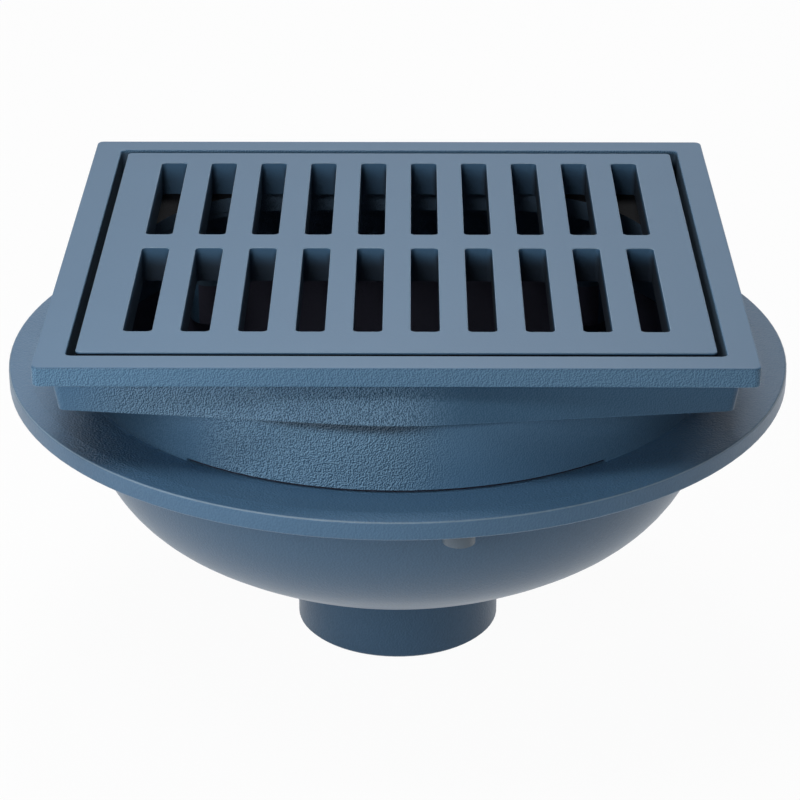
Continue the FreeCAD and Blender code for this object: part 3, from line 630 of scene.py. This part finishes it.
def frame_inside(tree, spot):
    """1 in the gap round the grate, on the ledge and in the throat, and on the inner wall of the collar."""
    edge_x = grate_high[0] + GAP_WIDE
    edge_y = grate_high[1] + GAP_WIDE
    within_x = band(tree, math_node(tree, "ABSOLUTE", frame_x), edge_x, edge_x - SOFT_STEP)
    within_y = band(tree, math_node(tree, "ABSOLUTE", frame_y), edge_y, edge_y - SOFT_STEP)
    below_top = below(tree, frame_z, grate_high[2], DIP_DEPTHS)
    above_web = band(tree, frame_z, ledge_under - SOFT_STEP, ledge_under)
    below_web = band(tree, frame_z, ledge_under + SOFT_STEP, ledge_under)
    in_recess = product(tree, within_x, within_y, below_top, above_web)
    radius, _ = from_axis(tree, spot)
    wall_middle = collar_radius - COLLAR_WALL / 2
    in_collar = product(tree, band(tree, radius, wall_middle, wall_middle - SOFT_STEP), below_web)
    return math_node(tree, "MAXIMUM", in_recess, in_collar)


# Inside, up-facing parts such as the ledge get near black as painted shade; the walls get the dull dip.
frame_dip_and_ledge_shade = mix_colors(frame_tree, frame_paint["up"], FRAME_DIP, SHADE_BLACK)
dip_and_shade_inside(frame_paint, frame_inside(frame_tree, frame_paint["spot"]), frame_dip_and_ledge_shade)
dress("top_frame", frame_paint["material"])

# %% [markdown]
# The sump is one casting: spigot, bowl and flange. Outside it is blue, deeper on the bowl and the spigot, and
# the bowl has more clear coat than the flange and the spigot. Three materials on three sets of faces would do
# it with hard borders. One material with two soft levels does it without, at the flange's underside and at
# the spigot's upper end, which are the CAD model's levels.

# %% The sump's paint
SUMP_SHINE = 0.2
SUMP_TOPS = dict(grains=900.0, depth=0.0009, roughness=0.42, coat=0.4)
SUMP_SIDES = dict(grains=900.0, depth=0.0003, roughness=0.38, coat=0.4)
SUMP_PAINTED_FLANKS = 0.1
FLANGE_UNDER = 0.1516
SPIGOT_TOP = 0.036
BOWL_THICK = 0.9
BOWL_COAT = 1.45
SPIGOT_COAT = 0.4

sump_paint = start_paint("sump paint", SUMP_SHINE)
sump_tree = sump_paint["tree"]
sump_spot = sump_paint["spot"]
sump_up = sump_paint["up"]
sump_side = rest_of(sump_tree, sump_up)
_, _, sump_z = axes(sump_tree, sump_spot)
on_bowl = band(sump_tree, sump_z, FLANGE_UNDER, FLANGE_UNDER - 2 * SOFT_STEP)
off_spigot = band(sump_tree, sump_z, SPIGOT_TOP - 3 * SOFT_STEP, SPIGOT_TOP + 3 * SOFT_STEP)
thick_bowl = product(sump_tree, on_bowl, BOWL_THICK)
sump_paint["color"] = mix_colors(sump_tree, thick_bowl, sump_paint["color"], BOWL_AND_SHADE_BLUE)
sump_relief = lay_grain(sump_paint, SUMP_TOPS, SUMP_SIDES, sump_up, sump_side)
# A little painted light and shade on the flanks of the sump's grain.
paint_flank_light_and_shade(sump_paint, sump_relief, product(sump_tree, sump_side, SUMP_PAINTED_FLANKS))
lay_gloss(sump_paint, SUMP_TOPS, SUMP_SIDES, sump_up)
bowl_coat = between(sump_tree, on_bowl, 1.0, BOWL_COAT)
spigot_coat = between(sump_tree, off_spigot, SPIGOT_COAT, 1.0)
sump_paint["clear"] = product(sump_tree, sump_paint["clear"], product(sump_tree, bowl_coat, spigot_coat))
print("bowl below %.4f, spigot below %.4f" % (FLANGE_UNDER, SPIGOT_TOP))

# %% [markdown]
# Two small marks are painted light on the sump. A pale painted highlight lies along the flange's upper outer
# edge, and the three bosses under the flange are painted a lighter grey, as painted light from the floor
# below.
# Both could be pieces of their own, but masks by radius and height keep them in the one casting.

# %% The sump's edge and bosses
# The pale blue of the painted highlight on the flange's outer edge.
FLANGE_HIGHLIGHT_BLUE = (0.230, 0.330, 0.430, 1.0)
EDGE_WIDTHS = (0.0009, 0.0004)
# The lighter grey of the painted light on the bosses.
BOSS_LIGHT_GREY = (0.115, 0.155, 0.195, 1.0)
BOSS_COUNT = 3
BOSS_ANGLE = math.radians(9.3)
BOSS_CIRCLE = 0.18915
BOSS_RADIUS = 0.0082


def sump_edge(tree, spot):
    """1 on the round-over at the top of the flange's outer edge."""
    radius, _ = from_axis(tree, spot)
    outermost = below(tree, radius, body_high[0], EDGE_WIDTHS)
    return product(tree, outermost, below(tree, sump_z, body_high[2], EDGE_WIDTHS))


def sump_bosses(tree, spot):
    """1 within a boss's radius from the boss's own axis, below the flange."""
    near = 0.0
    for angle in BOSS_ANGLE + np.arange(BOSS_COUNT) * 2 * math.pi / BOSS_COUNT:
        axis = (BOSS_CIRCLE * math.sin(angle), -BOSS_CIRCLE * math.cos(angle), 0.0)
        distance, _ = from_axis(tree, vector_node(tree, "SUBTRACT", "Vector", spot, axis))
        near = math_node(tree, "MAXIMUM", near, band(tree, distance, BOSS_RADIUS + SOFT_STEP, BOSS_RADIUS))
    return product(tree, near, band(tree, sump_z, FLANGE_UNDER, FLANGE_UNDER - SOFT_STEP))


# A painted highlight on the flange's outer edge.
with_edge_highlight = mix_colors(sump_tree, sump_edge(sump_tree, sump_spot), sump_paint["color"], FLANGE_HIGHLIGHT_BLUE)
# Painted light on the bosses under the flange.
sump_paint["color"] = mix_colors(sump_tree, sump_bosses(sump_tree, sump_spot), with_edge_highlight, BOSS_LIGHT_GREY)
print("pale edge and", BOSS_COUNT, "grey bosses on the sump")

# %% [markdown]
# Inside, the sump was dipped in dark grey. The bowl's wall is thin and curved, so a place alone hardly tells
# its two sides apart. The normal does: inner walls look at the axis or up, outer walls look away from it or
# down. The flange looks up too, but it lies outside the collar.

# %% The sump's inside
SUMP_DIP = (0.085, 0.086, 0.125, 1.0)
INWARD = (0.05, 0.15)


def sump_inside(tree, spot, normal):
    """1 where the normal's rise exceeds its lean away from the axis, inside the collar's radius."""
    radius, away = from_axis(tree, spot)
    _, _, rise = axes(tree, normal)
    lean = vector_node(tree, "DOT_PRODUCT", "Value", away, normal)
    looks_in = band(tree, math_node(tree, "SUBTRACT", rise, lean), *INWARD)
    within_collar = band(tree, radius, collar_radius - SOFT_STEP, collar_radius - 2 * SOFT_STEP)
    return product(tree, looks_in, within_collar)


dip_and_shade_inside(sump_paint, sump_inside(sump_tree, sump_spot, sump_paint["normal"]), SUMP_DIP)
dress("drain_body", sump_paint["material"])

# %% [markdown]
# Four plain steel bolts clamp the frame to the sump, out of sight under the grate. An even grey metal would
# do from afar. Rolled steel has a soft, slightly uneven gloss, so its roughness and its tint wander with the
# same drift group, and no new group is needed.

# %% The bolts' steel
STEEL_DEEP = (0.36, 0.37, 0.38, 1.0)
STEEL_PALE = (0.50, 0.51, 0.52, 1.0)
STEEL_PATCHES = 120.0
STEEL_GRAINS = 2600.0
STEEL_GRAIN_DEPTH = 0.00002
STEEL_ROUGHNESS = 0.3
STEEL_DRIFT = 0.15


def make_bolt_steel():
    """Bare steel: metallic, with a drifting tint, roughness and a very fine grain."""
    material = bpy.data.materials.new("bolt steel")
    material.use_nodes = True
    tree = material.node_tree
    sockets = tree.nodes["Principled BSDF"].inputs
    spot = tree.nodes.new("ShaderNodeTexCoord").outputs["Object"]
    tint = place(
        tree, paint_drift, Vector=spot, Deep=STEEL_DEEP, Chalky=STEEL_PALE, Patches_per_metre=STEEL_PATCHES
    )
    grain = place(tree, cast_grain, Vector=spot, Grains_per_metre=STEEL_GRAINS)
    bump = tree.nodes.new("ShaderNodeBump")
    bump.inputs["Distance"].default_value = STEEL_GRAIN_DEPTH
    tree.links.new(grain["Height"], bump.inputs["Height"])
    tree.links.new(bump.outputs["Normal"], sockets["Normal"])
    tree.links.new(tint["Color"], sockets["Base Color"])
    roughness = math_node(tree, "MULTIPLY_ADD", tint["Drift"], STEEL_DRIFT, STEEL_ROUGHNESS)
    tree.links.new(roughness, sockets["Roughness"])
    sockets["Metallic"].default_value = 1.0
    return material


dress("clamp_bolts", make_bolt_steel())

# %% [markdown]
# The studio is a pale floor that sweeps up into a round wall, so that no edge shows from any side. Its
# surface is a profile turned about the vertical axis: flat, then a quarter circle, then a short upright. A
# plane and a wall would do for one view, but this one serves all of them.

# %% The floor's shape
FLOOR_HUB = 0.05
FLOOR_FLAT = 3.0
FLOOR_SWEEP = 1.2
FLOOR_WALL = 1.0


def sweep_floor(turns=96, steps=24):
    """Points of the profile (r, z) turned by angle a: (r cos a, r sin a, z), and the faces between them."""
    bend = np.linspace(-np.pi / 2, 0.0, steps)
    flat_r = [FLOOR_HUB, FLOOR_FLAT * 0.5]
    sweep_r = FLOOR_FLAT + FLOOR_SWEEP * np.cos(bend)
    sweep_z = FLOOR_SWEEP * (1 + np.sin(bend))
    profile_r = np.concatenate((flat_r, sweep_r, [FLOOR_FLAT + FLOOR_SWEEP]))
    profile_z = np.concatenate(([0.0, 0.0], sweep_z, [FLOOR_SWEEP + FLOOR_WALL]))
    angle = np.linspace(0.0, 2 * np.pi, turns, endpoint=False)
    points_x = np.outer(np.cos(angle), profile_r)
    points_y = np.outer(np.sin(angle), profile_r)
    points_z = np.tile(profile_z, (turns, 1))
    points = np.stack([points_x, points_y, points_z], axis=-1).reshape(-1, 3)
    rings = len(profile_r)
    i, j = np.meshgrid(np.arange(turns), np.arange(rings - 1), indexing="ij")
    here = i * rings + j
    there = (i + 1) % turns * rings + j
    quads = np.stack([here, here + 1, there + 1, there], axis=-1).reshape(-1, 4)
    hub = np.arange(turns) * rings
    return points.tolist(), quads.tolist() + [hub.tolist()]


def make_floor():
    """The studio floor, smooth."""
    points, faces = sweep_floor()
    mesh = bpy.data.meshes.new("studio_floor")
    mesh.from_pydata(points, [], faces)
    mesh.polygons.foreach_set("use_smooth", np.ones(len(mesh.polygons), dtype=bool))
    floor = bpy.data.objects.new("studio_floor", mesh)
    bpy.context.scene.collection.objects.link(floor)
    return floor


floor = make_floor()
print("floor with", len(floor.data.polygons), "faces")

# %% [markdown]
# The camera sees the floor mostly as plain white, with a trace of the drain's shadow, and so do reflections.
# All other rays see a pale grey that throws light back on the drain. More light would make the floor white
# too, but it would bleach the paint.

# %% The floor's white
FLOOR_WHITE = 0.96
FLOOR_GREY = (0.86, 0.87, 0.88, 1.0)


def make_floor_white():
    """A mix of plain grey and a white glow of strength 1, by the kind of ray."""
    material = bpy.data.materials.new("pale floor")
    material.use_nodes = True
    tree = material.node_tree
    tree.nodes.clear()
    out = tree.nodes.new("ShaderNodeOutputMaterial")
    plain = tree.nodes.new("ShaderNodeBsdfDiffuse")
    plain.inputs["Color"].default_value = FLOOR_GREY
    white = tree.nodes.new("ShaderNodeEmission")
    rays = tree.nodes.new("ShaderNodeLightPath").outputs
    seen = math_node(tree, "ADD", rays["Is Camera Ray"], rays["Is Glossy Ray"])
    seen = math_node(tree, "ADD", seen, rays["Is Transmission Ray"])
    share = product(tree, math_node(tree, "MINIMUM", seen, 1.0), FLOOR_WHITE)
    mix = tree.nodes.new("ShaderNodeMixShader")
    tree.links.new(share, mix.inputs["Fac"])
    tree.links.new(plain.outputs["BSDF"], mix.inputs[1])
    tree.links.new(white.outputs["Emission"], mix.inputs[2])
    tree.links.new(mix.outputs["Shader"], out.inputs["Surface"])
    return material


floor.data.materials.append(make_floor_white())
print("floor in", floor.data.materials[0].name)

# %% [markdown]
# Five soft lamps make the studio. A wide one high behind the drain lights everything that looks up, and
# leaves the flange in the frame's shadow. One high on the front left and one lower in front of it model the
# upright faces. A small one stands low and close on the left: its light grazes the skirt and the collar, so
# that the grain of the casting shows, and fades toward the right. A weak lamp on the right keeps that side
# from going black. One large lamp would be simpler, but it would flatten the grain.

# %% The lamps
LAMP_AIM = (0.0, 0.0, 0.15)
LAMPS = (
    ("back_lamp", (0.0, 1.187, 1.846), 0.80, 22.5),
    ("front_lamp", (-0.267, -0.318, 0.869), 0.30, 2.0),
    ("face_lamp", (-0.267, -0.733, 0.434), 0.25, 1.5),
    ("close_lamp", (-0.715, -0.413, 0.237), 0.15, 0.85),
    ("right_lamp", (2.039, 0.0, 0.510), 0.50, 2.7),
)


def add_lamp(name, place_at, width, watts):
    """A square area lamp at a place, turned so that its face looks at the middle of the drain."""
    data = bpy.data.lights.new(name, "AREA")
    data.shape = "RECTANGLE"
    data.size = width
    data.size_y = width
    data.energy = watts
    lamp = bpy.data.objects.new(name, data)
    bpy.context.scene.collection.objects.link(lamp)
    reach_x, reach_y, reach_z = (b - a for a, b in zip(place_at, LAMP_AIM))
    flat = math.hypot(reach_x, reach_y)
    lamp.location = place_at
    lamp.rotation_euler = (math.atan2(flat, -reach_z), 0.0, math.atan2(-reach_x, reach_y))
    lamp.visible_camera = False
    return lamp


lamps = [add_lamp(*row) for row in LAMPS]
print("lamps:", [(lamp.name, lamp.data.energy) for lamp in lamps])

# %% [markdown]
# A trace of bluish light from above and all round stands for the air of the room. A sixth lamp could lift the
# deepest shadows too, but it would cast one of its own. The world's light casts none with an edge, and it is
# so weak that it shows nowhere else.

# %% The air
AIR_BLUE = (0.86, 0.93, 1.0, 1.0)
AIR_STRENGTH = 0.01

world = bpy.data.worlds.new("studio_air")
world.use_nodes = True
air = world.node_tree.nodes["Background"].inputs
air["Color"].default_value = AIR_BLUE
air["Strength"].default_value = AIR_STRENGTH
bpy.context.scene.world = world
print("air at", AIR_STRENGTH)

# %% [markdown]
# The camera stands where the photograph was taken from. Set by eye it would be a little off, so its place,
# tilt and focal length were fitted to the corners of the frame, the slots and the flange. The drain then
# falls on the photograph's pixels to within a few. The lens is long, which keeps edges calm.

# %% The camera
IMAGE_PIXELS = 800
FOCAL_PIXELS = 2829.6
SENSOR_MM = 36.0
CAMERA_AT = (0.0073, -1.4038, 0.7748)
TILT_DOWN = math.radians(24.685)
TURN_LEFT = math.radians(0.248)

camera_data = bpy.data.cameras.new("photo_camera")
camera_data.sensor_width = SENSOR_MM
camera_data.lens = SENSOR_MM * FOCAL_PIXELS / IMAGE_PIXELS
camera = bpy.data.objects.new("photo_camera", camera_data)
bpy.context.scene.collection.objects.link(camera)
camera.location = CAMERA_AT
camera.rotation_euler = (math.pi / 2 - TILT_DOWN, 0.0, TURN_LEFT)
bpy.context.scene.camera = camera
bpy.context.scene.view_settings.view_transform = "Standard"
print("lens %.1f mm" % camera_data.lens)
